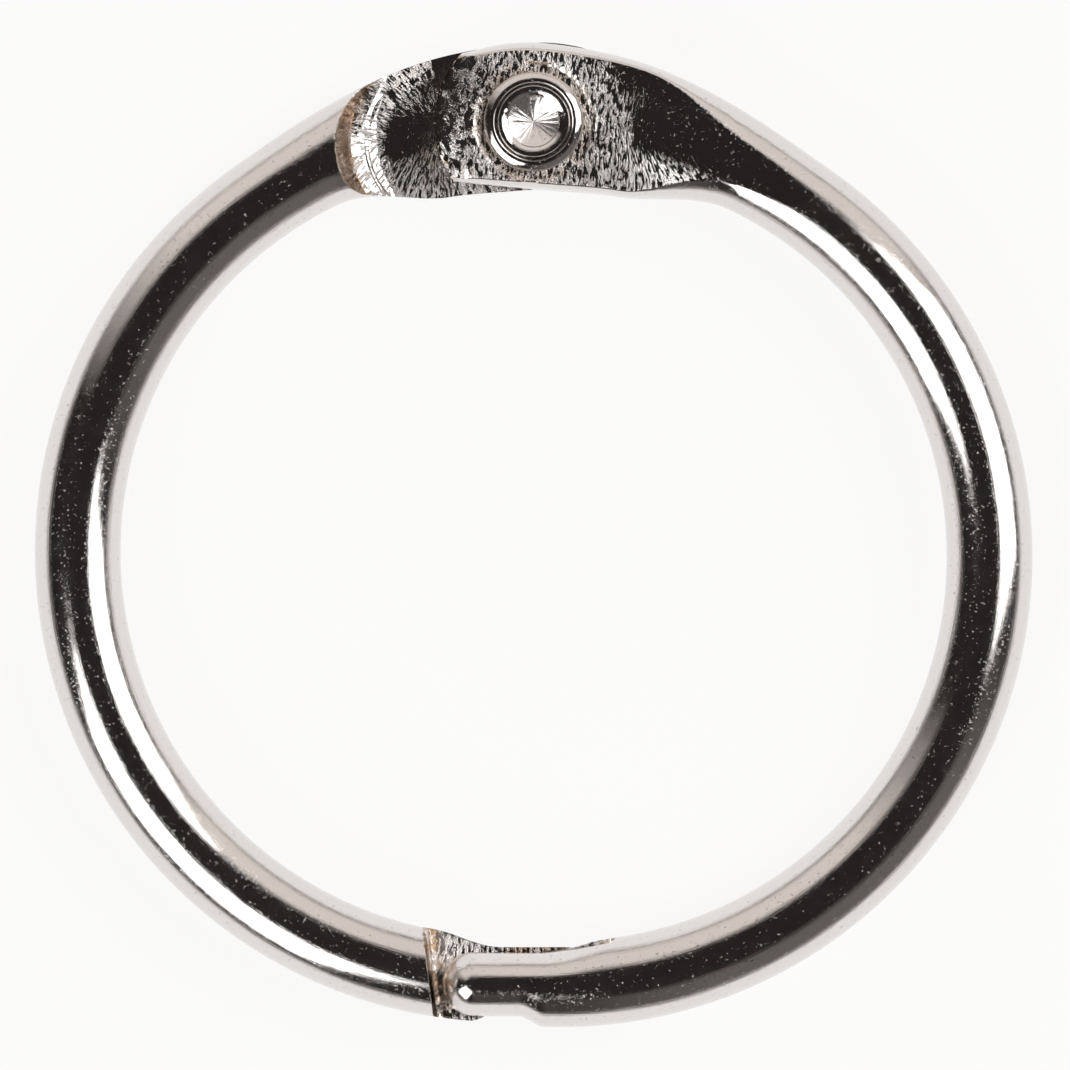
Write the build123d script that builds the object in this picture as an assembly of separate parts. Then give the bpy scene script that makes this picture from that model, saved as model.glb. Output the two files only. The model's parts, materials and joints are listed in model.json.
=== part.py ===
from build123d import *
import os
from math import cos, pi, radians, sin, sqrt

# Hinged binder ring, closed. Millimetres. The ring lies flat in the XY plane, its axis is +Z,
# the hinge is at the +Y end and the clasp at the -Y end. The origin is the middle of the eye.
# Both halves are one stamped shape: the left one is the same shape turned over.

# Ring and wire
eye_width = 25.0  # clear width inside the closed ring, side to side
wire_diameter = 2.6
oval_spread = 0.85  # each half's bend centre stands this far out from the middle plane
level_offset = 0.07  # the left half sits this much high and the right half this much low

# Hinge tabs, pressed out of the wire's ends
pressed_depth = 0.13  # the tab's outer face lies this far under the wire's crown
tab_outer_reach = 2.42  # rivet to the tab's outer edge
tab_inner_reach = 2.02  # rivet to the tab's inner edge
tab_end_radius = 3.0  # free end of a tab, round the rivet's axis
tab_lean = 4.3  # degrees by which a tab points out of the ring, beyond the hinge line
tab_outer_round = 5.0  # radius of the outer edge beyond the rivet
outer_flare_start = 8.8  # along the wire from the rivet to where the outer edge widens
inner_flare_start = 6.7  # the same on the inner edge
inner_flare_end = 2.9
pressed_flat_end = 6.4  # along the wire from the rivet, full depth of the outer flat
pressed_runout = 2.9  # length over which the outer flat rises past the wire's crown
pressed_overrun = 0.01  # the slope ends this far over the crown
tab_fullness = 0.95  # squareness of the pressed section: 0.55 is round, 1 is square
tab_swell = 0.15  # the tab's section before its outer face is cut flat stands this much higher
hinge_seam = 0.04  # gap between the two tabs
shoulder_distance = 6.04  # rivet to the step at the tab's root
shoulder_angle = 12.5  # degrees from the X axis, of the line from the rivet to the step
shoulder_radius = 2.3  # the step is hollow in plan
shoulder_fillet = 1.25  # fillet at the step's foot

# Clasp tongues, lapped half on half
lap_length = 4.75  # from the tip of one tongue to the tip of the other
lap_shift = -0.42  # the lap's middle lies this far to the left of the hinge
tongue_width = 1.94
tongue_drop = 0.06  # the tongue's crown lies this far under the wire's crown
tongue_straight = 2.3  # from the tip to where the outer edge widens
outer_blend = 0.85  # length over which the outer edge widens to the wire
inner_blend_start = 3.0  # from the tip to where the inner edge widens
inner_blend = 2.2
tip_gap = 0.36  # end gap between a tongue's tip and the other half's step
lap_fillet = 0.25  # fillet at the foot of that step
rib_height = 0.1  # snap rib across the left tongue
rib_width = 0.5
rib_length = 1.55
rib_from_tip = 1.2
snap_clearance = 0.02  # rib to the other tongue's face, and to its groove

# Hinge rivet
shank_diameter = 1.7
running_clearance = 0.04  # radial, shank in the right tab
set_clearance = 0.02  # radial, shank in the left tab
crown_diameter = 3.04
crown_height = 0.34
crown_ring_diameter = 2.2  # inner raised ring of the swaged crown
crown_ring_rise = 0.1  # of the inner ring over the outer bead
dimple_diameter = 1.58
dimple_depth = 0.5
low_head_diameter = 3.0
low_head_height = 0.32
seat_margin = 0.26  # shallow seat pressed in by the swaging, round the crown
seat_depth = 0.05
seat_clearance = 0.02  # crown to the right tab's seat

wire_radius = wire_diameter / 2
bend_radius = eye_width / 2 + wire_radius - oval_spread
lean = radians(tab_lean)
straight_run = (oval_spread + bend_radius * sin(lean)) / cos(lean)
pivot_y = bend_radius * cos(lean) + straight_run * sin(lean)
tab_top = wire_radius - pressed_depth
tongue_height = wire_radius - tongue_drop
clasp_seam = rib_height + snap_clearance
round_fullness = 4 / 3 * (sqrt(2) - 1)
far = 4 * wire_diameter  # reach of a cutting block past the metal
round_lead = wire_diameter / 4  # plain wire in a lofted end, ahead of where it widens or narrows
tab_sections = 8
tongue_sections = 10


def ease(start, end, value):
    """Smooth step from 0 at start to 1 at end."""
    share = min(max((value - start) / (end - start), 0), 1)
    return share * share * (3 - 2 * share)


def station(angle, past, centre):
    """Plane across the wire at an angle from +Y, moved on along the tangent by past."""
    out = Vector(sin(angle), cos(angle), 0)
    along = Vector(cos(angle), -sin(angle), 0)
    return Plane(centre + out * bend_radius + along * past, x_dir=out, z_dir=along)


def round_section(plane):
    arcs = [CenterArc((0, 0), wire_radius, 90 * turn, 90) for turn in range(4)]
    return plane * Wire(arcs)


def pressed_section(plane, inner, outer, height, fullness):
    """Closed section whose quarters run from the round wire's to a squarer shape."""
    corners = [(outer, height), (-inner, height), (-inner, -wire_radius), (outer, -wire_radius)]
    edges = []
    for turn, (reach, rise) in enumerate(corners):
        side = (reach, 0)
        side_pull = (reach, fullness * rise)
        crown_pull = (fullness * reach, rise)
        crown = (0, rise)
        points = [side, side_pull, crown_pull, crown]
        if turn % 2:
            points.reverse()
        edges.append(Bezier(*points))
    return plane * Wire(edges)


def tab_station(run, centre):
    """Plane across the tab at a distance along the wire from the rivet, minus is beyond it."""
    if run > straight_run:
        return station(lean + (run - straight_run) / bend_radius, 0, centre)
    return station(lean, run - straight_run, centre)


def tab_blank(centre):
    """Widened end of the wire, before its two faces are pressed flat."""
    sections = [round_section(tab_station(outer_flare_start + round_lead, centre))]
    length = outer_flare_start + tab_end_radius + round_lead
    for section in range(tab_sections + 1):
        run = outer_flare_start - section * length / tab_sections
        flare = ease(outer_flare_start, 0, run)
        outer = wire_radius + (tab_outer_reach - centre.Y - wire_radius) * flare
        outer -= min(run, 0) ** 2 / (2 * tab_outer_round)
        inner_flare = ease(inner_flare_start, inner_flare_end, run)
        inner = wire_radius + (tab_inner_reach + centre.Y - wire_radius) * inner_flare
        fullness = round_fullness + (tab_fullness - round_fullness) * inner_flare
        height = wire_radius + tab_swell * inner_flare
        plane = tab_station(run, centre)
        sections.append(pressed_section(plane, inner, outer, height, fullness))
    return Solid.make_loft(sections)


def tongue_station(run, tip, centre):
    """Plane across the tongue at a distance along the wire from its tip."""
    straight = centre.X - tip
    if run > straight:
        return station(radians(180) - (run - straight) / bend_radius, 0, centre)
    return station(radians(180), straight - run, centre)


def tongue_blank(tip, centre):
    """Narrowed end of the wire with a rounded nose, before the lap face is cut."""
    half_width = tongue_width / 2
    full = inner_blend_start + inner_blend
    sections = []
    for section in range(tongue_sections):
        run = half_width + section * (full - half_width) / tongue_sections
        outer_share = ease(tongue_straight, tongue_straight + outer_blend, run)
        inner_share = ease(inner_blend_start, full, run)
        outer = half_width + (wire_radius - half_width) * outer_share
        inner = half_width + (wire_radius - half_width) * inner_share
        height = tongue_height + (wire_radius - tongue_height) * inner_share
        plane = tongue_station(run, tip, centre)
        sections.append(pressed_section(plane, inner, outer, height, round_fullness))
    sections.append(round_section(tongue_station(full, tip, centre)))
    sections.append(round_section(tongue_station(full + round_lead, tip, centre)))
    return Solid.make_loft(sections)


def tongue_nose(tip, centre):
    """Round end of the tongue: its own section turned about an upright axis."""
    half_width = tongue_width / 2
    points = [(half_width, 0), (half_width, round_fullness * tongue_height)]
    points += [(round_fullness * half_width, tongue_height), (0, tongue_height)]
    outline = Wire([Bezier(*points), Line((0, tongue_height), (0, 0)), Line((0, 0), (half_width, 0))])
    profile = Plane.XZ * Face(outline)
    place = Pos(tip + half_width, centre.Y - bend_radius, 0) * Rot(0, 0, 90)
    return place * revolve(profile, Axis.Z, 180)


def wire_arc(start, end, centre):
    """Round wire between two angles from +Y, clockwise."""
    disc = station(start, 0, centre) * Circle(wire_radius)
    axis = Axis((centre.X, centre.Y, 0), (0, 0, -1))
    return revolve(disc, axis, (end - start) * 180 / pi)


def tab_face_cut():
    """Everything over the tab's pressed face, rising to the wire's crown."""
    slope_end = pressed_flat_end + pressed_runout
    outline = [(-far, tab_top), (pressed_flat_end, tab_top)]
    outline += [(slope_end, wire_radius + pressed_overrun), (slope_end, far), (-far, far)]
    profile = Plane.XZ * Face(Polyline(*outline, close=True))
    return Pos(0, pivot_y, 0) * extrude(profile, far, both=True)


def tab_step_cut():
    """Everything under the tab's mating face, up to the hollow step at its root."""
    hollow_x = shoulder_distance - shoulder_radius
    hollow = Cylinder(shoulder_radius, far, align=(Align.CENTER, Align.CENTER, Align.MAX))
    hollow = fillet(hollow.edges().sort_by(Axis.Z)[-1], shoulder_fillet)
    block = Box(far, 2 * far, far, align=(Align.MAX, Align.CENTER, Align.MAX))
    place = Pos(0, pivot_y, hinge_seam / 2) * Rot(0, 0, -shoulder_angle) * Pos(hollow_x, 0, 0)
    return place * (hollow + block)


def tab_end_cut():
    """Everything beyond the tab's rounded free end."""
    block = Box(far, 2 * far, far, align=(Align.MAX, Align.CENTER, Align.CENTER))
    return Pos(0, pivot_y, 0) * (block - Cylinder(tab_end_radius, 2 * far))


def tongue_step_cut(step_x):
    """Everything under the tongue's lap face, up to the step at its root."""
    block = Box(far, far, far, align=(Align.MAX, Align.CENTER, Align.MAX))
    foot = block.edges().filter_by(Axis.Y).group_by(Axis.Z)[-1].sort_by(Axis.X)[-1]
    return Pos(step_x, -bend_radius, clasp_seam / 2) * fillet(foot, lap_fillet)


def snap_bar(x, side, length):
    """Shallow rounded bar across a lap face, standing above it (side 1) or below it (side -1)."""
    radius = (rib_width**2 / 4 + rib_height**2) / (2 * rib_height)
    middle = clasp_seam / 2 + side * (rib_height - radius)
    return Pos(x, -bend_radius, middle) * Rot(90, 0, 0) * Cylinder(radius, length)


def half(lap_middle, level):
    """One half of the ring, on the +X side, with its tab and tongue uppermost."""
    centre = Vector(oval_spread, level, 0)
    tip = lap_middle - lap_length / 2
    start = lean + (outer_flare_start + round_lead - straight_run) / bend_radius
    tongue_run = inner_blend_start + inner_blend + round_lead
    end = radians(180) - (tongue_run - (centre.X - tip)) / bend_radius
    body = wire_arc(start, end, centre) + tab_blank(centre) + tongue_blank(tip, centre)
    body += tongue_nose(tip, centre)
    body -= tab_end_cut()
    body -= tab_face_cut()
    body -= tab_step_cut()
    body -= tongue_step_cut(lap_middle + lap_length / 2 + tip_gap)
    return body


def rivet_hole(clearance):
    return Pos(0, pivot_y, 0) * Cylinder(shank_diameter / 2 + clearance, 2 * far)


snap_x = lap_shift + lap_length / 2 - rib_from_tip


def make_right_half():
    """Upper half: seat for the crown, groove for the snap rib."""
    seat_radius = crown_diameter / 2 + seat_margin
    seat = Cylinder(seat_radius, far, align=(Align.CENTER, Align.CENTER, Align.MIN))
    seat = Pos(0, pivot_y, tab_top - seat_depth) * seat
    groove = snap_bar(snap_x, 1, far)
    return half(lap_shift, -level_offset) - rivet_hole(running_clearance) - seat - groove


def make_left_half():
    """Lower half: the same shape turned over about the hinge line, with the snap rib."""
    rib = snap_bar(-snap_x, -1, rib_length)
    return Rot(0, 180, 0) * (half(-lap_shift, level_offset) - rivet_hole(set_clearance) + rib)


def make_hinge_rivet():
    """Shank with a plain low head beneath and the swaged crown on top."""
    shank = shank_diameter / 2
    edge = crown_diameter / 2
    ring = crown_ring_diameter / 2
    dimple = dimple_diameter / 2
    base = tab_top - seat_depth + seat_clearance
    bead_top = base + crown_height
    ring_top = bead_top + crown_ring_rise
    valley = base + crown_height / 2
    low = -tab_top
    low_edge = low_head_diameter / 2
    low_dome = [(0, low - low_head_height), (round_fullness * low_edge, low - low_head_height)]
    low_dome += [(low_edge, low - round_fullness * low_head_height), (low_edge, low)]
    outline = Bezier(*low_dome)
    outline += Polyline((low_edge, low), (shank, low), (shank, base), (edge, base))
    outline += ThreePointArc((edge, base), ((edge + ring) / 2, bead_top), (ring, valley))
    outline += ThreePointArc((ring, valley), ((ring + dimple) / 2, ring_top), (dimple, bead_top))
    outline += Polyline((dimple, bead_top), (0, ring_top - dimple_depth), (0, low - low_head_height))
    return Pos(0, pivot_y, 0) * revolve(Plane.XZ * make_face(outline), Axis.Z, 360)


os.makedirs("parts", exist_ok=True)
export_step(make_left_half(), "parts/left_half.step")
export_step(make_right_half(), "parts/right_half.step")
export_step(make_hinge_rivet(), "parts/hinge_rivet.step")
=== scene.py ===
import json
import math
from types import SimpleNamespace

import bpy
import numpy as np
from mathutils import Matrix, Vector, noise


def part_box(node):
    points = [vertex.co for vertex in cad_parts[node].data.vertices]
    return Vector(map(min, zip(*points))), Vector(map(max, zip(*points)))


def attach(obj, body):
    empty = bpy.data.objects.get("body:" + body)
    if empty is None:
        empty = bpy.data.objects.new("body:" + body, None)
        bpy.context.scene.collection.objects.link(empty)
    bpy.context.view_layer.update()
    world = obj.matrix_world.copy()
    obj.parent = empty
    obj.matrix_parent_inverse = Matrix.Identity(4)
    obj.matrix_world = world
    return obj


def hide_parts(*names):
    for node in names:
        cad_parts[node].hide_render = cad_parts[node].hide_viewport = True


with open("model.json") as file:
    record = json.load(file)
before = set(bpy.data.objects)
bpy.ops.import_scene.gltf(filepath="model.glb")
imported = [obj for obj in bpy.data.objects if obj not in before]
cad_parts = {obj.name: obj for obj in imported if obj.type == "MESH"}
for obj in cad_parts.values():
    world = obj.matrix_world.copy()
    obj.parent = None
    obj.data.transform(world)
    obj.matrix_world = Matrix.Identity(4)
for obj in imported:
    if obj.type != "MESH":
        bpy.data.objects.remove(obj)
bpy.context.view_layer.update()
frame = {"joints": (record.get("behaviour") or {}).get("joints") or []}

# Sizes in millimetres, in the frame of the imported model. Each half is worked out as the right one,
# with its tab and tongue uppermost, and the left one is turned over about the hinge line.
MM = 0.001
PIVOT_Y = frame["joints"][0]["pos_m"][1] / MM
WIRE_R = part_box("left_half")[1].z / MM
HALF_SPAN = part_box("right_half")[1].x / MM
LEVEL_OFFSET = (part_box("left_half")[0].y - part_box("right_half")[0].y) / 2 / MM
OVAL_SPREAD = 0.85
BEND_R = HALF_SPAN - WIRE_R - OVAL_SPREAD
LEAN = math.radians(4.3)
STRAIGHT = (OVAL_SPREAD + BEND_R * math.sin(LEAN)) / math.cos(LEAN)

# Hinge tabs
TAB_TOP = WIRE_R - 0.13
TAB_OUTER = 2.42
TAB_INNER = 2.02
TAB_END_R = 3.0
TAB_END_FROM = -1.6  # along the wire, where the sections start to bend to the tab's round end
TAB_CORNER = 0.6  # how much further along the tab's two end corners lie
TAB_END_ROWS = 22  # sections that are bent to the tab's round end
TAB_OUTER_ROUND = 5.0
OUTER_FLARE = 8.8
INNER_FLARE = 6.7
INNER_FLARE_END = 2.9
TAB_SWELL = 0.15
FLAT_END = 6.4
FLAT_RUNOUT = 2.9
FLAT_OVERRUN = 0.02  # how far the pressed face ends above the wire
ROOT_END = 10.0  # along the wire, past everything that the hinge's press shaped
TAB_FULLNESS = 0.95  # how square a tab's section is, where a round wire's has ROUND_FULLNESS
ROUND_FULLNESS = 4 / 3 * (math.sqrt(2) - 1)
HINGE_SEAM = 0.04
SEAT_R = 1.78
SEAT_DEPTH = 0.05
SEAT_EDGE = 0.05  # half the width of the seat's soft edge
LIP_HEIGHT = 0.035  # metal pushed up round part of the seat
LIP_OUT = 0.09
LIP_WIDTH = 0.05
HOLE_R = 0.89

# Hollow step at a tab's root: a steep wall over a long ramp
STEP_AT = 6.04
STEP_ANGLE = 12.5
STEP_HOLLOW_R = 3.4
STEP_HEIGHT = 1.22
STEP_WALL = 0.5
STEP_WALL_BOW = 1.5
STEP_RAMP_R = 2.1
STEP_RAMP_TILT = math.radians(37)
STEP_SIDES = (0.9, 2.6)  # from the hollow's centre, where the ramp starts and where it is full

# Clasp tongues
LAP_LENGTH = 4.75
LAP_LEAD = 2.0  # how far before the lap the clasp's cut may reach
LAP_SHIFT = -0.42
TONGUE_HALF = 0.97
TONGUE_TOP = WIRE_R - 0.06
RIGHT_TONGUE_STRAIGHT = 2.3
LEFT_TONGUE_STRAIGHT = 2.95
OUTER_BLEND = 0.85
INNER_BLEND_START = 3.0
INNER_BLEND = 2.2
TIP_GAP = 0.36
LAP_FILLET = 0.36
LAP_WALL_SLANT = 0.12  # the step's wall slants this much along the wire for each mm across it
CLASP_SEAM = 0.12
RIB_HEIGHT = 0.1
RIB_WIDTH = 0.5
RIB_LENGTH = 1.55
RIB_FROM_TIP = 1.2

# Marks of the press
FAN_FROM = 2.6  # along the wire from the rivet, where the streaks start to fan out
FAN_REACH = 3.2
FAN_SPREAD = 0.8  # keeps the streaks apart where they fan out
CRUSH_FROM = 2.3  # from the rivet, where a tab's free end starts to be crushed down
CRUSH_DEPTH = 0.09
CRUSH_BEFORE = 0.5  # along the wire, so that only the free end is crushed
CREASE_DEPTH = 0.92  # fine ridge across the step's ramp
CREASE_HEIGHT = 0.03
CREASE_WIDTH = 0.055
LAP_BEVEL_FROM = 0.1  # across the lap face, where its inner edge starts to fall away
LAP_BEVEL_SLOPE = 0.36
LAP_BEVEL_RUN = (2.8, 0.6)  # in from the lap's step, where the bevel starts and is full
FACE_DENT = 0.007
EDGE_DENT = 0.006
EDGE_DENT_RUN = (9.0, 6.0)  # along the wire, where dents in the tab's edges start and are full

# Painted brown shade on the steps, the tongue's tip, the crown's seat and the tab's end: where each
# rises and where it fades, by depth in from a step or distance from the rivet
WALL_SHADE = (-0.12, 0.0, 0.42, 0.62)
LAP_SHADE = (-0.02, 0.02, 0.3, 0.6)
SEAT_SHADE = (1.45, 1.55, 1.65, 1.95)
TIP_SHADE_ACROSS = (0.6, 0.9)
TIP_SHADE_DEPTH = (2.2, 2.6)
END_SHADE_WIDTH = 0.2
TIP_SHADE_SHARE = 0.8
SEAT_SHADE_SHARE = 0.4
END_SHADE_SHARE = 0.7
FOOT_SHADE_SHARE = 0.6

# Rivet: radii, and heights from the crown's level
POINT_R = 0.005
SHANK_R = 0.85
SEAT_GAP = 0.02
CROWN_HEIGHT = 0.34
CONE_R = 0.76
CONE_DEPTH = 0.47
CONE_RISE = 0.38
RING_FOOT_R = 0.79
RING_TOP_R = 1.06
RING_RISE = 0.08
RING_BULGE = 0.085
GROOVE_R = 1.12
GROOVE_DEPTH = 0.13
BEAD_R = 1.22
BEAD_DROP = 0.02
RIM_R = 1.5
RIM_DROP = 0.15
CROWN_R = 1.512
CROWN_SIDE = 0.1
FOOT_R = 1.47
HEAD_R = 1.48
HEAD_HEIGHT = 0.31
DIMPLE_R = 0.77
SWAGED_ABOVE = 1.2  # over the ring's centre plane
SWAGE_DIP = 0.02  # how uneven the swaged beads are
SWAGE_GRAIN = 0.004
DIMPLE_RAYS = 0.09
TURNS = 192  # mesh points round the rivet

PRESS_ROUND = 0.03  # how rounded a pressed face's edges are
FAR = 50.0  # a height no metal reaches
QUARTER = 30  # mesh points round a quarter of a section
CREASE = math.radians(32)

# Colours of the plate, and of the shade painted on it
NICKEL = (0.76, 0.725, 0.70, 1)
DULL_NICKEL = (0.55, 0.50, 0.47, 1)
# Painted shade: brown on the steps' walls, the tongue's tip, the crown's seat, the tab's end and the
# rivet's foot
BROWN_SHADE = (0.52, 0.37, 0.25, 1)
# Painted shade: dark in the plate's tiny pits
PIT_SHADE = (0.25, 0.22, 0.20, 1)

# Light. Azimuths are in degrees, each soft edge of a sky sector has two, and sky heights are the
# sine of the elevation.
LAMP_DISTANCE = 0.5  # metres
SOFTBOX_LIGHT = 3.6
WALL_FROM = (30, 42)
WALL_TO = (160, 135)
FRONT_FROM = (-100, -70)
FRONT_TO = (-8, -30)
BAND_FROM = (0.0, 0.15)
BAND_TO = (0.82, 0.7)
LOW_FADE = (0.2, 0.0)
WALL_LIGHT = 0.8
LOW_LIGHT = 0.5
FRONT_LIGHT = 0.13
DARK_LIGHT = 0.02
SKY_COLOUR = (1.0, 0.93, 0.89, 1)
FLOOR_WHITE = 1.0
FLOOR_GLOW = 0.88
FLOOR_COLOUR = (1.0, 0.995, 0.99, 1)
FLOOR_DROP = 0.05  # millimetres under the rivet

# Camera
LENS = 500
SENSOR = 36  # millimetres
SEEN_WIDTH = 32.385  # millimetres across the picture at the ring
LOOK_AT = (0.04, 0.57)


def ease(start, end, value):
    """Smooth step from 0 at start to 1 at end."""
    share = np.clip((value - start) / (end - start), 0, 1)
    return share * share * (3 - 2 * share)


def band(value, rise_from, rise_to, fall_from, fall_to):
    """1 between the rise and the fall, 0 outside them, with soft ends."""
    return ease(rise_from, rise_to, value) * (1 - ease(fall_from, fall_to, value))


def soft_min(values, limit, rounding):
    """The lower of two heights, with the crease between them rounded."""
    return 0.5 * (values + limit - np.sqrt((values - limit) ** 2 + rounding**2))


def wire_path(s, centre):
    """Point, outward and forward directions at distances s along the wire, from rivet to clasp."""
    arc_end = STRAIGHT + (math.pi - LEAN) * BEND_R
    angle = LEAN + (np.clip(s, STRAIGHT, arc_end) - STRAIGHT) / BEND_R
    out = np.stack([np.sin(angle), np.cos(angle)], -1)
    along = np.stack([np.cos(angle), -np.sin(angle)], -1)
    past = np.minimum(s - STRAIGHT, 0) + np.maximum(s - arc_end, 0)
    return centre + BEND_R * out + past[..., None] * along, out, along


def stations(tip_s):
    """Distances along the wire of the mesh's sections, closer where the shape changes."""
    spans = [
        (TAB_END_FROM, 3.0, 0.055),
        (3.0, 6.2, 0.03),
        (6.2, 9.4, 0.07),
        (9.4, tip_s - 6.0, 0.15),
        (tip_s - 6.0, tip_s - 5.4, 0.06),
        (tip_s - 5.4, tip_s - 4.5, 0.02),
        (tip_s - 4.5, tip_s - TONGUE_HALF, 0.05),
    ]
    runs = [np.arange(a, b - step / 2, step) for a, b, step in spans]
    nose = TONGUE_HALF * (1 - np.sin(np.linspace(0, 0.995, 28) * math.pi / 2))
    return np.concatenate(runs + [tip_s - nose])


def section_sizes(s, tip_s, level, straight):
    """Outer and inner half widths, crown and underside heights and squareness of the sections."""
    left = tip_s - s
    swell = ease(INNER_FLARE, INNER_FLARE_END, s)
    on_tongue = left < INNER_BLEND_START + INNER_BLEND
    outer_share = ease(straight, straight + OUTER_BLEND, left)
    inner_share = ease(INNER_BLEND_START, INNER_BLEND_START + INNER_BLEND, left)
    outer = WIRE_R + (TAB_OUTER - level - WIRE_R) * ease(OUTER_FLARE, 0, s)
    outer -= np.minimum(s, 0) ** 2 / (2 * TAB_OUTER_ROUND)
    inner = WIRE_R + (TAB_INNER + level - WIRE_R) * swell
    crown = WIRE_R + TAB_SWELL * swell
    outer = np.where(on_tongue, TONGUE_HALF + (WIRE_R - TONGUE_HALF) * outer_share, outer)
    inner = np.where(on_tongue, TONGUE_HALF + (WIRE_R - TONGUE_HALF) * inner_share, inner)
    crown = np.where(on_tongue, TONGUE_TOP + (WIRE_R - TONGUE_TOP) * inner_share, crown)
    nose = np.sqrt(1 - np.clip(1 - left / TONGUE_HALF, 0, 1) ** 2)
    squareness = ROUND_FULLNESS + (TAB_FULLNESS - ROUND_FULLNESS) * swell
    return outer * nose, inner * nose, crown * nose, -WIRE_R * nose, squareness


def section_points(outer, inner, crown, under, squareness):
    """Points across and up round each section: four quarters, from the outer side over the crown."""
    step = np.arange(QUARTER) / QUARTER
    squareness = squareness[:, None]
    across = []
    up = []
    quarters = [(outer, crown), (-inner, crown), (-inner, under), (outer, under)]
    for turn, (reach, rise) in enumerate(quarters):
        t = step if turn % 2 == 0 else 1 - step
        start, pull_1 = (1 - t) ** 3, 3 * t * (1 - t) ** 2
        pull_2, end = 3 * t**2 * (1 - t), t**3
        across.append(reach[:, None] * (start + pull_1 + squareness * pull_2))
        up.append(rise[:, None] * (squareness * pull_1 + pull_2 + end))
    return np.concatenate(across, 1), np.concatenate(up, 1)


def step_depth(x, y):
    """Distance in from the hinge step's top edge, and the share of the ramp that is left there."""
    turn = math.radians(STEP_ANGLE)
    along = x * math.cos(turn) - (y - PIVOT_Y) * math.sin(turn) - (STEP_AT - STEP_HOLLOW_R)
    across = x * math.sin(turn) + (y - PIVOT_Y) * math.cos(turn)
    depth = np.where(along > 0, STEP_HOLLOW_R - np.hypot(along, across), STEP_HOLLOW_R)
    return depth, ease(*STEP_SIDES, along)


def step_rise(depth):
    """Height of the tab's step over its floor: a steep wall, then a long ramp."""
    foot = STEP_WALL + STEP_RAMP_R * math.sin(STEP_RAMP_TILT)
    ramp_top = STEP_RAMP_R * (1 - math.cos(STEP_RAMP_TILT))
    ramp = STEP_RAMP_R - np.sqrt(STEP_RAMP_R**2 - np.clip(foot - depth, 0, foot - STEP_WALL) ** 2)
    share = np.clip(1 - depth / STEP_WALL, 0, 1) ** STEP_WALL_BOW
    wall = ramp_top + (STEP_HEIGHT - ramp_top) * share
    return np.where(depth < 0, FAR, np.where(depth < STEP_WALL, wall, ramp))


def lap_rise(depth):
    """Height of the clasp's step over the lap face: a wall with a fillet at its foot."""
    in_fillet = np.clip(LAP_FILLET - depth, 0, LAP_FILLET)
    return np.where(depth < 0, FAR, LAP_FILLET - np.sqrt(LAP_FILLET**2 - in_fillet**2))


def snap_bar(x, y, middle):
    """Height of the shallow rounded bar across a lap face."""
    radius = (RIB_WIDTH**2 / 4 + RIB_HEIGHT**2) / (2 * RIB_HEIGHT)
    bar = np.sqrt(np.clip(radius**2 - (x - middle) ** 2, 0, None)) - (radius - RIB_HEIGHT)
    return np.clip(bar, 0, None) * (np.abs(y + BEND_R) < RIB_LENGTH / 2)


def round_tab_end(points, out, along, count):
    """Spread the first sections out to the tab's round free end."""
    from_pivot = points[:count] - np.array([0, PIVOT_Y])
    forward = (from_pivot * along[0]).sum(-1)
    reach = forward + np.sqrt(forward**2 - (from_pivot**2).sum(-1) + TAB_END_R**2)
    share = np.linspace(1, 0, count)[:, None]
    return points[:count] - (share * reach)[..., None] * along[0]


def roughness_map(x, y, scale, seed):
    """Smooth noise from -1 to 1 at each point."""
    flat = zip(x.ravel() * scale, y.ravel() * scale)
    return np.array([noise.noise((a, b, seed)) for a, b in flat]).reshape(x.shape)


def press_grain(run, across):
    """Coordinates over and along the press's streaks: square to the edges, then fanning out."""
    beyond = np.maximum(run - FAN_FROM, 0)
    turn = np.arctan2(beyond, np.abs(across) + FAN_SPREAD)
    on_tab = run < FLAT_END + 2 * FLAT_RUNOUT
    streak = np.where(on_tab, np.minimum(run, FAN_FROM) + FAN_REACH * turn, run)
    length = np.where(on_tab, np.hypot(beyond, across), np.abs(across))
    return streak, length


def half_grid(lap_middle, level, upper):
    """Places of one half's mesh points before it is pressed, as arrays of section by point."""
    centre = np.array([OVAL_SPREAD, level])
    tip_s = STRAIGHT + (math.pi - LEAN) * BEND_R + OVAL_SPREAD - (lap_middle - LAP_LENGTH / 2)
    runs = stations(tip_s)
    end_runs = TAB_END_FROM - np.linspace(TAB_CORNER, 0, TAB_END_ROWS)[:-1]
    s = np.concatenate([end_runs, runs])
    straight = RIGHT_TONGUE_STRAIGHT if upper else LEFT_TONGUE_STRAIGHT
    across, up = section_points(*section_sizes(s, tip_s, level, straight))
    place_s = np.concatenate([np.full(TAB_END_ROWS - 1, TAB_END_FROM), runs])
    base, out, along = wire_path(place_s, centre)
    points = base[:, None, :] + across[..., None] * out[:, None, :]
    points[:TAB_END_ROWS] = round_tab_end(points, out, along, TAB_END_ROWS)
    g = SimpleNamespace(x=points[..., 0], y=points[..., 1], up=up, across=across, tip_s=tip_s)
    g.level = level
    g.upper = upper
    g.run = np.broadcast_to(s[:, None], g.x.shape)
    g.from_rivet = np.hypot(g.x, g.y - PIVOT_Y)
    g.depth, g.ramp_share = step_depth(g.x, g.y)
    lap_step = lap_middle + LAP_LENGTH / 2 + TIP_GAP + LAP_WALL_SLANT * (g.y + BEND_R)
    g.lap_depth = lap_step - g.x
    g.by_hinge = g.run < ROOT_END
    g.on_lap = g.run > tip_s - LAP_LENGTH - LAP_LEAD
    return g


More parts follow.
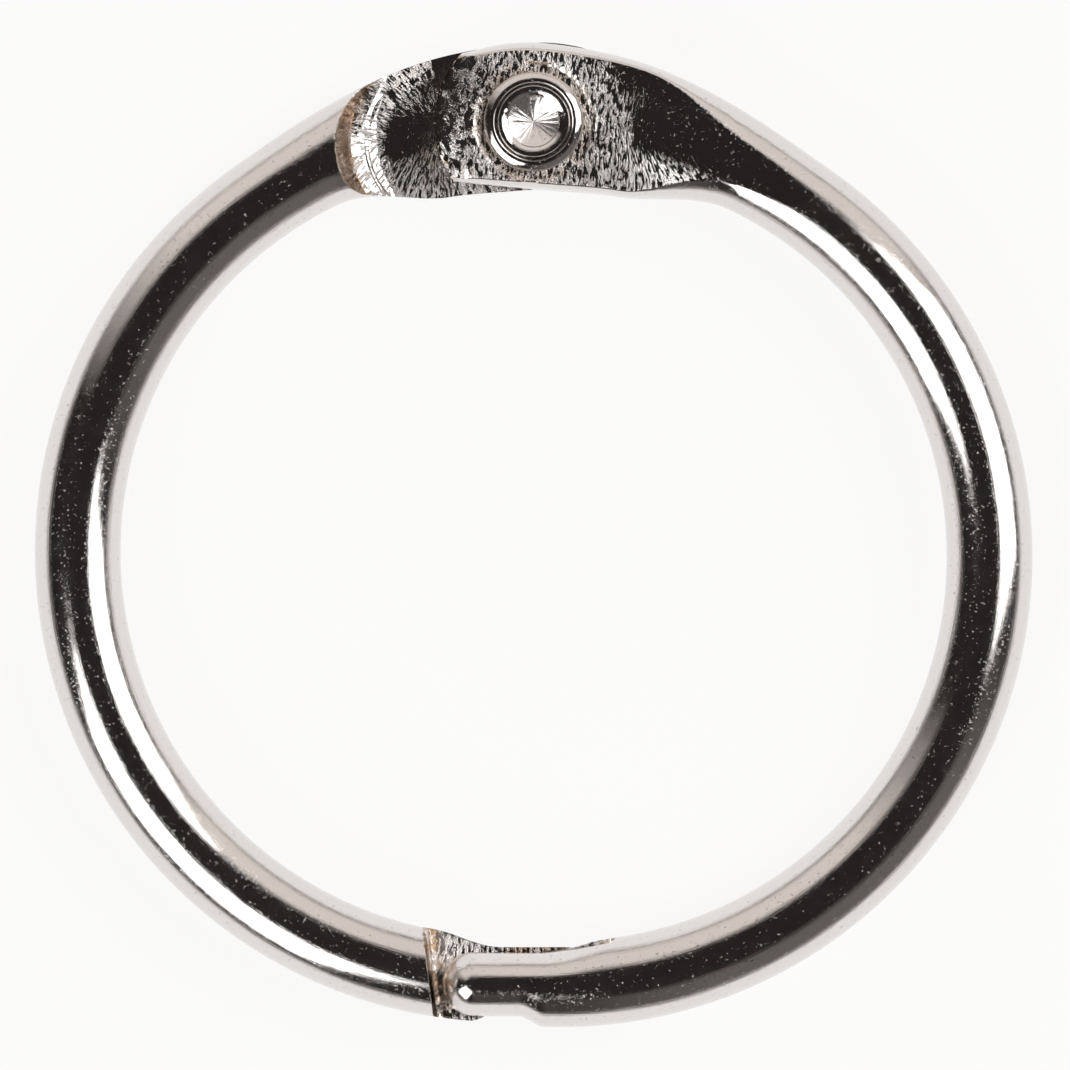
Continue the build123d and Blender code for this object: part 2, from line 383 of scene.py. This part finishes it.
def press_outside(g):
    """Press the outside of the tab flat, with the crown's seat, its lip and the crushed free end."""
    slope = np.clip(g.run - FLAT_END, 0, None) / FLAT_RUNOUT * (WIRE_R - TAB_TOP + FLAT_OVERRUN)
    face = TAB_TOP + slope
    if g.upper:
        face = face - SEAT_DEPTH * (1 - ease(SEAT_R - SEAT_EDGE, SEAT_R + SEAT_EDGE, g.from_rivet))
        lip = np.exp(-(((g.from_rivet - SEAT_R - LIP_OUT) / LIP_WIDTH) ** 2))
        towards = (g.x + g.y - PIVOT_Y) / (g.from_rivet + 0.01) / 1.4
        face = face + LIP_HEIGHT * lip * ease(0.2, 0.8, towards)
    crushed = ease(CRUSH_FROM, TAB_END_R, g.from_rivet) * (g.run < CRUSH_BEFORE)
    face = face - CRUSH_DEPTH * crushed * (1 + roughness_map(g.x, g.y, 2.6, 4.4 + g.level))
    on_tab = g.run < FLAT_END + FLAT_RUNOUT
    g.pressed_up = np.where(on_tab, ease(-0.02, 0.05, g.up - face), 0)
    g.up = np.where(on_tab, soft_min(g.up, face, PRESS_ROUND), g.up)


def press_inside(g):
    """Press the mating faces of the tab and tongue, with their steps and the snap's rib or groove."""
    side = 1 if g.upper else -1
    bar = snap_bar(g.x, g.y, side * (LAP_SHIFT + LAP_LENGTH / 2 - RIB_FROM_TIP))
    crease = CREASE_HEIGHT * np.exp(-(((g.depth - CREASE_DEPTH) / CREASE_WIDTH) ** 2))
    tab_floor = HINGE_SEAM / 2 - (step_rise(g.depth) + crease) * g.ramp_share
    bevel = LAP_BEVEL_SLOPE * np.maximum(-g.across - LAP_BEVEL_FROM, 0)
    bevel = bevel * ease(*LAP_BEVEL_RUN, g.lap_depth)
    lap_floor = CLASP_SEAM / 2 - lap_rise(g.lap_depth) + side * bar + bevel
    floor = np.where(g.by_hinge, tab_floor, np.where(g.on_lap, lap_floor, -FAR))
    g.pressed_under = ease(-PRESS_ROUND, PRESS_ROUND, floor - g.up)
    g.up = np.maximum(g.up, floor)


def dent(g):
    """Shallow dents of the press in the tab's outside and its edges. The level sets the halves apart."""
    dents = roughness_map(g.run + 3 * g.level, g.across, 2.2, 3.1)
    dents = dents + 0.5 * roughness_map(g.run, g.across, 6.0, 7.7 + g.level)
    dents = dents + 0.7 * roughness_map(g.streak * 5.0, g.length * 0.7, 1.0, 2.2 + g.level)
    g.up = g.up + FACE_DENT * dents * g.pressed_up * (g.from_rivet > SEAT_R + 0.15)
    on_edge = (1 - g.pressed_up) * ease(*EDGE_DENT_RUN, g.run) * (g.up < TAB_TOP - 0.1)
    g.up = g.up - EDGE_DENT * np.abs(dents) * on_edge


def brown_shade_share(g):
    """How much brown shade is painted on the plate: at the steps, the tongue's tip, the crown's seat and
    the tab's end.
    """
    wall = band(g.depth, *WALL_SHADE) * g.by_hinge * g.pressed_under
    lap = band(g.lap_depth, *LAP_SHADE)
    tip = ease(*TIP_SHADE_ACROSS, -g.across) * ease(*TIP_SHADE_DEPTH, g.lap_depth)
    lap = (lap + TIP_SHADE_SHARE * tip) * g.on_lap * g.pressed_under
    seat = SEAT_SHADE_SHARE * band(g.from_rivet, *SEAT_SHADE) * g.pressed_up * g.upper
    end = END_SHADE_SHARE * ease(TAB_END_R - END_SHADE_WIDTH, TAB_END_R, g.from_rivet) * (g.run < 0)
    return np.clip(wall + lap + seat + end, 0, 1)


def half_values(g):
    """Shading values of one half: pattern coordinates, how pressed and coarse it is, and how much brown
    shade is painted on it.
    """
    flat_tab = (g.pressed_up + g.pressed_under) * g.by_hinge
    press = np.clip(flat_tab + g.pressed_under * ease(0.0, 0.3, g.lap_depth) * g.on_lap, 0, 1)
    coarse = ease(3.5, 2.2, g.from_rivet) * g.pressed_up
    coarse = coarse + 0.35 * ease(g.tip_s - 1.2, g.tip_s - 0.5, g.run)
    edge_marks = 0.2 + 0.95 * ease(0.2, 1.6, np.abs(g.across)) * ease(-1.9, 0.6, -g.across)
    in_hollow = ease(1.6, 1.0, g.depth) * g.by_hinge * g.pressed_under
    edge_marks = np.maximum(edge_marks, coarse) + in_hollow
    other_side = np.where(g.up > 0.5, 0.0, 9.0)
    return {
        "wire": np.stack([g.across, g.up, 0.035 * g.run], -1),
        "grain": np.stack([g.streak, 0.3 * g.length, 0.12 * g.across + other_side], -1),
        "press": press,
        "streaked": press * np.where(g.on_lap, 1, edge_marks),
        # painted brown shade at the steps, the tongue's tip, the seat and the tab's end
        "painted_shade": brown_shade_share(g),
        "coarse": coarse,
    }


def half_arrays(lap_middle, level, upper):
    """Vertex positions and shading values of one half, as arrays of section by point."""
    g = half_grid(lap_middle, level, upper)
    g.streak, g.length = press_grain(g.run, g.across)
    press_outside(g)
    press_inside(g)
    dent(g)
    return np.stack([g.x, g.y, g.up], -1), half_values(g)


def half_faces(rows, columns):
    """Quads round and along the sections, with strips from crown to underside closing both ends."""
    index = np.arange(rows * columns).reshape(rows, columns)
    a, b = index[:-1], index[1:]
    quads = np.stack([a, np.roll(a, -1, 1), np.roll(b, -1, 1), b], -1).reshape(-1, 4)
    faces = [tuple(q) for q in quads.tolist()]
    for row, turned in ((index[0].tolist(), False), (index[-1].tolist(), True)):
        for j in range(columns // 2):
            ring = [row[j], row[-j], row[-j - 1], row[j + 1]]
            ring = [v for k, v in enumerate(ring) if v not in ring[:k]]
            faces.append(tuple(reversed(ring)) if turned else tuple(ring))
    return faces


def add_mesh(name, positions, faces, values):
    """Mesh object from arrays in millimetres, with its shading values as attributes."""
    mesh = bpy.data.meshes.new(name)
    flat = positions.reshape(-1, 3) * MM
    mesh.from_pydata(flat.tolist(), [], faces)
    for label, value in values.items():
        kind = "FLOAT_VECTOR" if value.ndim == 3 else "FLOAT"
        field = "vector" if value.ndim == 3 else "value"
        attribute = mesh.attributes.new(label, kind, "POINT")
        attribute.data.foreach_set(field, value.astype(np.float32).ravel())
    piece = bpy.data.objects.new(name, mesh)
    bpy.context.scene.collection.objects.link(piece)
    return piece


def drill(piece, radius):
    """Cut the rivet's hole through both faces of a tab."""
    bpy.ops.mesh.primitive_cylinder_add(
        vertices=96, radius=radius * MM, depth=8 * MM, location=(0, PIVOT_Y * MM, 0)
    )
    cutter = bpy.context.object
    cut = piece.modifiers.new("hole", "BOOLEAN")
    cut.operation = "DIFFERENCE"
    cut.solver = "MANIFOLD"
    cut.object = cutter
    bpy.context.view_layer.update()
    graph = bpy.context.evaluated_depsgraph_get()
    drilled = bpy.data.meshes.new_from_object(piece.evaluated_get(graph))
    drilled.materials.clear()
    piece.modifiers.clear()
    piece.data = drilled
    bpy.data.objects.remove(cutter)


def smooth(piece):
    """Smooth shading with creases at the stamped edges."""
    piece.data.shade_smooth()
    piece.data.set_sharp_from_angle(angle=CREASE)


def make_half(name, lap_middle, level, upper):
    """One half of the ring. The lower one is the upper one's shape turned over."""
    positions, values = half_arrays(lap_middle, level, upper)
    if not upper:
        positions = positions * np.array([-1, 1, -1])
    faces = half_faces(*positions.shape[:2])
    piece = add_mesh(name, positions, faces, values)
    drill(piece, HOLE_R)
    smooth(piece)
    return piece


def outline_run(start_r, end_r, count, height):
    """Outline points between two radii, with heights worked out from the share of the way."""
    return [(start_r + (end_r - start_r) * t, height(t)) for t in np.linspace(0, 1, count)]


def rivet_profile():
    """Radius and height of the rivet's outline, from the dimple's point round to the low head."""
    base = TAB_TOP - SEAT_DEPTH + SEAT_GAP
    crown = base + CROWN_HEIGHT
    ring = crown + RING_RISE
    groove = crown - GROOVE_DEPTH
    bead = crown - BEAD_DROP
    cone = outline_run(POINT_R, CONE_R, 26, lambda t: crown - CONE_DEPTH + CONE_RISE * t**1.1)
    ring_rise = outline_run(RING_FOOT_R, RING_TOP_R, 12, lambda t: ring - RING_BULGE * (1 - t) ** 2)
    ring_fall = outline_run(RING_TOP_R, GROOVE_R, 9, lambda t: ring - (ring - groove) * t**1.6)[1:-1]
    swell = bead - groove
    rise = outline_run(GROOVE_R, BEAD_R, 9, lambda t: groove + swell * math.sin(t * math.pi / 2))
    fall = outline_run(BEAD_R, RIM_R, 14, lambda t: bead - RIM_DROP * t**2)[1:]
    side = [(CROWN_R, base + CROWN_SIDE), (FOOT_R, base), (SHANK_R, base), (SHANK_R, -TAB_TOP)]
    turns = np.linspace(0, 1.55, 22)
    head = [(HEAD_R * math.cos(t), -TAB_TOP - HEAD_HEIGHT * math.sin(t)) for t in turns]
    end = [(POINT_R, -TAB_TOP - HEAD_HEIGHT)]
    return np.array(cone + ring_rise + ring_fall + rise + fall + side + head + end)


def rivet_arrays():
    """Vertex positions and shading values of the rivet, its beads a little uneven from swaging."""
    profile = rivet_profile()
    turns = np.linspace(0, 2 * math.pi, TURNS, endpoint=False)
    radius, angle = np.meshgrid(profile[:, 0], turns, indexing="ij")
    height = np.broadcast_to(profile[:, 1:], radius.shape)
    cos, sin = np.cos(angle), np.sin(angle)
    uneven = roughness_map(cos, sin + radius, 1.3, 5.5)
    fine = roughness_map(cos, sin + 0.3 * radius, 7.0, 1.5)
    rays = roughness_map(6 * cos, 6 * sin, 1.0, 8.5)
    swaged = band(radius, 0.6, 0.8, 1.4, 1.5) * (height > SWAGED_ABOVE)
    in_dimple = (radius < DIMPLE_R) * (height > 0)
    lift = (SWAGE_GRAIN * fine - SWAGE_DIP * np.abs(uneven)) * swaged
    lift = lift + DIMPLE_RAYS * rays * in_dimple * radius / 0.78 * (1 - radius / 0.8)
    wobble = radius * (1 + 0.004 * uneven)
    z = height + lift
    pressed = 0.25 * in_dimple
    values = {
        "wire": np.stack([radius, z, 0.1 * cos], -1),
        "grain": np.stack([3.4 * cos, 3.4 * sin, 0.35 * radius], -1),
        "press": pressed,
        "streaked": pressed,
        # painted brown shade round the crown's outer slope and foot
        "painted_shade": FOOT_SHADE_SHARE * ease(1.4, 1.51, radius) * (height > 0),
        "coarse": np.zeros_like(radius),
    }
    return np.stack([wobble * cos, wobble * sin + PIVOT_Y, z], -1), values


def make_rivet():
    """Rivet turned from its outline, and closed at both points."""
    positions, values = rivet_arrays()
    rows = len(positions)
    index = np.arange(rows * TURNS).reshape(rows, TURNS)
    a, b = index[:-1], index[1:]
    quads = np.stack([a, b, np.roll(b, -1, 1), np.roll(a, -1, 1)], -1).reshape(-1, 4)
    faces = [tuple(q) for q in quads.tolist()]
    faces.append(tuple(index[0].tolist()))
    faces.append(tuple(reversed(index[-1].tolist())))
    piece = add_mesh("rivet", positions, faces, values)
    smooth(piece)
    return piece


class Nodes:
    """Short way to add and join the nodes of one material or world."""

    def __init__(self, tree):
        self.tree = tree
        tree.nodes.clear()

    def add(self, kind, inputs=None, **settings):
        """New node. An input that is a socket is joined, any other value is set on the node's own."""
        node = self.tree.nodes.new(kind)
        for name, value in settings.items():
            setattr(node, name, value)
        for name, value in (inputs or {}).items():
            if isinstance(value, bpy.types.NodeSocket):
                self.tree.links.new(value, node.inputs[name])
            else:
                node.inputs[name].default_value = value
        return node

    def math(self, operation, *values):
        node = self.add("ShaderNodeMath", dict(enumerate(values)), operation=operation)
        return node.outputs[0]

    def attribute(self, name, output="Vector"):
        return self.add("ShaderNodeAttribute", attribute_name=name).outputs[output]

    def noise(self, vector, scale, detail=2.0, rough=0.5):
        sockets = {"Vector": vector, "Scale": scale, "Detail": detail, "Roughness": rough}
        return self.add("ShaderNodeTexNoise", sockets).outputs["Fac"]

    def spread(self, value, low, high, to_low=0.0, to_high=1.0):
        """Map a span of values to another, and hold what is past its ends."""
        sockets = {"Value": value, "From Min": low, "From Max": high}
        sockets.update({"To Min": to_low, "To Max": to_high})
        return self.add("ShaderNodeMapRange", sockets, clamp=True).outputs[0]

    def mix(self, factor, first, second):
        node = self.add("ShaderNodeMix", data_type="RGBA")
        factor_socket, first_socket, second_socket = (node.inputs[k] for k in (0, 6, 7))
        pairs = ((factor_socket, factor), (first_socket, first), (second_socket, second))
        for socket, value in pairs:
            if isinstance(value, bpy.types.NodeSocket):
                self.tree.links.new(value, socket)
            else:
                socket.default_value = value
        return node.outputs[2]

    def bump(self, height, distance, strength, normal=None):
        sockets = {"Height": height, "Distance": distance, "Strength": strength}
        if normal is not None:
            sockets["Normal"] = normal
        return self.add("ShaderNodeBump", sockets).outputs["Normal"]


def plate_roughness(n, place, press, coarse, mottle):
    """Bright on the wire and the pressed faces, duller round the rivet."""
    rough = n.spread(n.noise(place, 3500.0, 3.0), 0.35, 0.7, to_low=0.08, to_high=0.16)
    smoother = n.spread(mottle, 0.3, 0.7, to_low=-0.05, to_high=0.0)
    rough = n.math("ADD", rough, n.math("MULTIPLY", press, smoother))
    return n.math("ADD", rough, n.math("MULTIPLY", coarse, 0.08))


def plate_colour(n, place, coarse, pits, mottle):
    """Warm nickel, dull in patches round the rivet, with painted brown shade at the steps and edges and
    painted shade dark in the pits.
    """
    patches = n.spread(n.noise(place, 1500.0, 2.0), 0.4, 0.62)
    clean = n.mix(n.math("MULTIPLY", coarse, patches), NICKEL, DULL_NICKEL)
    # painted brown shade, broken up by the mottle
    shaded = n.math("MULTIPLY", n.attribute("painted_shade", "Fac"), n.spread(mottle, 0.32, 0.6))
    colour = n.mix(shaded, clean, BROWN_SHADE)
    # painted shade in the tiny pits
    return n.mix(n.math("MULTIPLY", pits, 0.6), colour, PIT_SHADE)


def plate_normal(n, place, press, coarse, pits, mottle):
    """Waves, drawing lines along the wire, pits and bumps, and the press's streaks and mottling."""
    lines = n.noise(n.attribute("wire"), 11.0, 5.0, 0.7)
    waves = n.noise(place, 900.0, 2.0)
    bumps = n.spread(n.noise(place, 14000.0, 1.0, 0.5), 0.66, 0.8)
    streaks = n.spread(n.noise(n.attribute("grain"), 11.0, 4.0, 0.65), 0.5, 0.76)
    normal = n.bump(waves, 1.2e-5, 0.5)
    normal = n.bump(lines, 4.5e-6, n.math("SUBTRACT", 1.0, press), normal)
    normal = n.bump(pits, -8.0e-6, 0.5, normal)
    normal = n.bump(bumps, 4.0e-6, 0.45, normal)
    normal = n.bump(streaks, 2.0e-5, n.attribute("streaked", "Fac"), normal)
    return n.bump(mottle, 1.3e-5, coarse, normal)


def plated_metal():
    """Bright nickel plate. Its patterns' scales are per metre, and its bumps' heights are in metres."""
    material = bpy.data.materials.new("nickel_plate")
    material.use_nodes = True
    n = Nodes(material.node_tree)
    place = n.add("ShaderNodeTexCoord").outputs["Object"]
    press = n.attribute("press", "Fac")
    coarse = n.attribute("coarse", "Fac")
    pits = n.spread(n.noise(place, 9000.0, 2.0, 0.7), 0.65, 0.74)
    mottle = n.noise(place, 2600.0, 3.0, 0.6)
    shader = n.add("ShaderNodeBsdfPrincipled", {
        "Base Color": plate_colour(n, place, coarse, pits, mottle),
        "Metallic": 1.0,
        "Roughness": plate_roughness(n, place, press, coarse, mottle),
        "Normal": plate_normal(n, place, press, coarse, pits, mottle),
    })
    n.add("ShaderNodeOutputMaterial", {"Surface": shader.outputs[0]})
    return material


def direction(azimuth, elevation):
    """Unit vector at an azimuth from +X and an elevation over the ring's plane, in degrees."""
    a, e = math.radians(azimuth), math.radians(elevation)
    return Vector((math.cos(a) * math.cos(e), math.sin(a) * math.cos(e), math.sin(e)))


def softbox(name, azimuths, elevations, radiance):
    """Rectangular lamp that fills a patch of the sky seen from the ring."""
    towards = direction(sum(azimuths) / 2, sum(elevations) / 2)
    lamp = bpy.data.lights.new(name, "AREA")
    lamp.shape = "RECTANGLE"
    rise = math.radians(elevations[1] - elevations[0]) / 2
    spread = math.radians(azimuths[1] - azimuths[0]) / 2 * math.hypot(towards.x, towards.y)
    lamp.size = 2 * LAMP_DISTANCE * math.tan(spread)
    lamp.size_y = 2 * LAMP_DISTANCE * math.tan(rise)
    lamp.energy = radiance * math.pi * lamp.size * lamp.size_y
    holder = bpy.data.objects.new(name, lamp)
    holder.location = towards * LAMP_DISTANCE
    holder.rotation_euler = towards.to_track_quat("Z", "Y").to_euler()
    holder.visible_camera = False
    bpy.context.scene.collection.objects.link(holder)


def sector(n, value, rise, fall):
    """1 between two soft edges of the sky and 0 outside them."""
    return n.math("MULTIPLY", n.spread(value, *rise), n.spread(value, *fall))


def in_radians(edge):
    """Both sides of an edge of the sky, from degrees."""
    return tuple(math.radians(side) for side in edge)


def studio_sky():
    """Dark studio with one pale wall behind the hinge. Only the camera sees the white backdrop."""
    world = bpy.data.worlds.new("studio")
    bpy.context.scene.world = world
    world.use_nodes = True
    n = Nodes(world.node_tree)
    look = n.add("ShaderNodeTexCoord").outputs["Generated"]
    split = n.add("ShaderNodeSeparateXYZ", {"Vector": look})
    azimuth = n.math("ARCTAN2", split.outputs["Y"], split.outputs["X"])
    height = split.outputs["Z"]
    middle = sector(n, height, BAND_FROM, BAND_TO)
    wall = n.math("MULTIPLY", sector(n, azimuth, in_radians(WALL_FROM), in_radians(WALL_TO)), middle)
    front = n.math("MULTIPLY", sector(n, azimuth, in_radians(FRONT_FROM), in_radians(FRONT_TO)), middle)
    low = n.math("MULTIPLY", n.spread(height, *LOW_FADE), LOW_LIGHT)
    low = n.math("MAXIMUM", low, n.math("MULTIPLY", front, FRONT_LIGHT))
    lit = n.math("MAXIMUM", n.math("MULTIPLY", wall, WALL_LIGHT), low)
    level = n.math("ADD", lit, DARK_LIGHT)
    studio = n.add("ShaderNodeBackground", {"Color": SKY_COLOUR, "Strength": level})
    white = n.add("ShaderNodeBackground", {"Color": (1, 1, 1, 1), "Strength": 1.0})
    seen = n.add("ShaderNodeLightPath").outputs["Is Camera Ray"]
    both = n.add("ShaderNodeMixShader", {"Fac": seen, 1: studio.outputs[0], 2: white.outputs[0]})
    n.add("ShaderNodeOutputWorld", {"Surface": both.outputs[0]})


def pale_floor():
    """Plain floor, white to the camera and in reflections, that keeps part of the ring's shadow."""
    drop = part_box("hinge_rivet")[0].z - FLOOR_DROP * MM
    bpy.ops.mesh.primitive_plane_add(size=6, location=(0, 0, drop))
    floor = bpy.context.object
    floor.name = "floor"
    material = bpy.data.materials.new("pale_floor")
    material.use_nodes = True
    n = Nodes(material.node_tree)
    place = n.add("ShaderNodeTexCoord").outputs["Object"]
    tone = n.spread(n.noise(place, 40.0), 0.3, 0.7, to_low=0.985, to_high=1.0)
    paint = n.add("ShaderNodeCombineColor", {"Red": tone, "Green": tone, "Blue": tone})
    matt = n.add("ShaderNodeBsdfDiffuse", {"Color": paint.outputs[0]})
    glow = n.add("ShaderNodeEmission", {"Color": FLOOR_COLOUR, "Strength": FLOOR_WHITE})
    path = n.add("ShaderNodeLightPath")
    seen = n.math("MAXIMUM", path.outputs["Is Camera Ray"], path.outputs["Is Glossy Ray"])
    seen = n.math("MAXIMUM", seen, path.outputs["Is Transmission Ray"])
    share = n.math("MULTIPLY", seen, FLOOR_GLOW)
    both = n.add("ShaderNodeMixShader", {"Fac": share, 1: matt.outputs[0], 2: glow.outputs[0]})
    n.add("ShaderNodeOutputMaterial", {"Surface": both.outputs[0]})
    floor.data.materials.append(material)


def add_camera():
    """Camera straight over the ring, from far enough off that the wire's sides are seen square on."""
    camera = bpy.data.cameras.new("camera")
    camera.lens = LENS
    camera.sensor_width = SENSOR
    camera.clip_start = 0.01
    holder = bpy.data.objects.new("camera", camera)
    holder.location = (LOOK_AT[0] * MM, LOOK_AT[1] * MM, SEEN_WIDTH * MM * LENS / SENSOR)
    bpy.context.scene.collection.objects.link(holder)
    bpy.context.scene.camera = holder


def add_pieces():
    """The two halves and the rivet, each in place of its CAD node."""
    plate = plated_metal()
    pieces = [
        (make_half("left_ring_half", -LAP_SHIFT, LEVEL_OFFSET, False), "left_half", "left"),
        (make_half("right_ring_half", LAP_SHIFT, -LEVEL_OFFSET, True), "right_half", "right"),
        (make_rivet(), "hinge_rivet", "left"),
    ]
    for piece, node, body in pieces:
        piece.data.materials.append(plate)
        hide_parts(node)
        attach(piece, body)


add_pieces()
softbox("softbox_right", (-5, 39), (18, 60), SOFTBOX_LIGHT)
softbox("softbox_left", (199, 250), (20, 60), SOFTBOX_LIGHT)
studio_sky()
pale_floor()
add_camera()
bpy.context.scene.view_settings.view_transform = "Standard"
